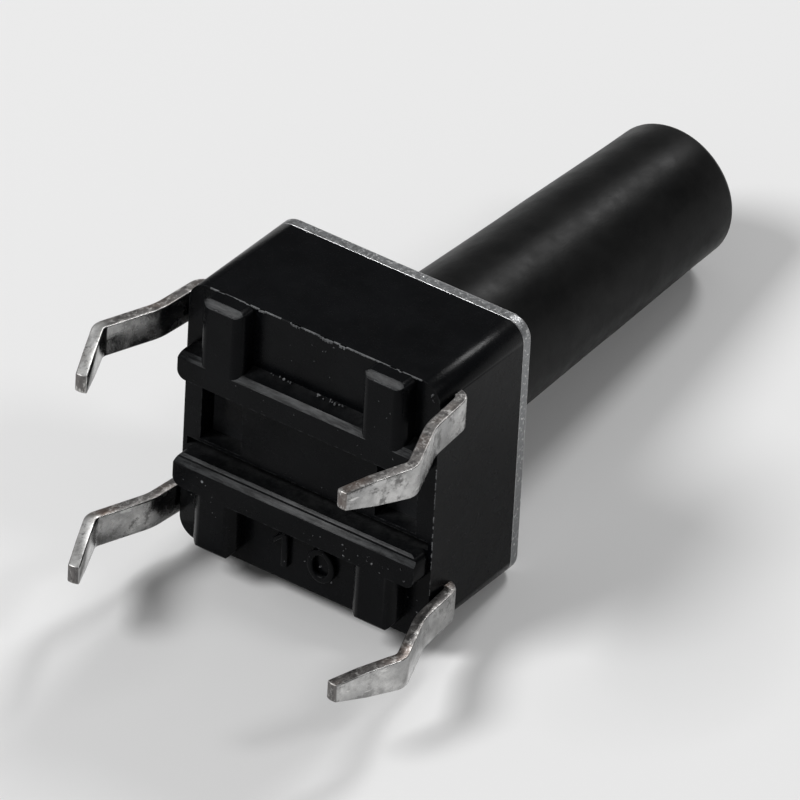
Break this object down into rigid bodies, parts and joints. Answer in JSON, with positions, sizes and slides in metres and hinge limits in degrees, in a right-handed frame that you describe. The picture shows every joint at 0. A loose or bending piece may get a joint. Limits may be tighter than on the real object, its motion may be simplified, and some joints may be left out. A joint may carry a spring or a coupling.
{
  "type": "tactile push button switch",
  "caption": "Square through-hole tactile push button switch with a long round tapered stem, a flat metal cover held by moulded posts, a stepped underside and kinked snap-in legs",
  "frame": {"origin": "centre of the board's surface between the four legs, where the feet's lower faces rest", "axes": "+Z points out along the stem, away from the board; the two rows of legs stand on the -X and +X sides; +Y is the side with the two square feet and the notch between them"},
  "size_m": [0.0076, 0.006, 0.016],
  "materials": {
    "housing": "moulded black thermoplastic, satin",
    "plunger": "moulded black thermoplastic, satin",
    "terminals": "tinned, with sheared edges",
    "dome": "thin spring steel",
    "cover": "rolled stainless sheet with a sheared edge"
  },
  "bodies": {
    "switch_body": {"housing": "housing", "bridge_terminal": "terminals", "rim_terminal": "terminals", "dome": "dome", "cover": "cover"},
    "button": {"plunger": "plunger"}
  },
  "joints": [
    {"name": "press", "type": "slide", "parent": "switch_body", "child": "button", "axis": [0, 0, -1], "range_m": [0, 0.00025], "stiffness_N_per_m": 6400, "deforming": ["dome"]}
  ]
}
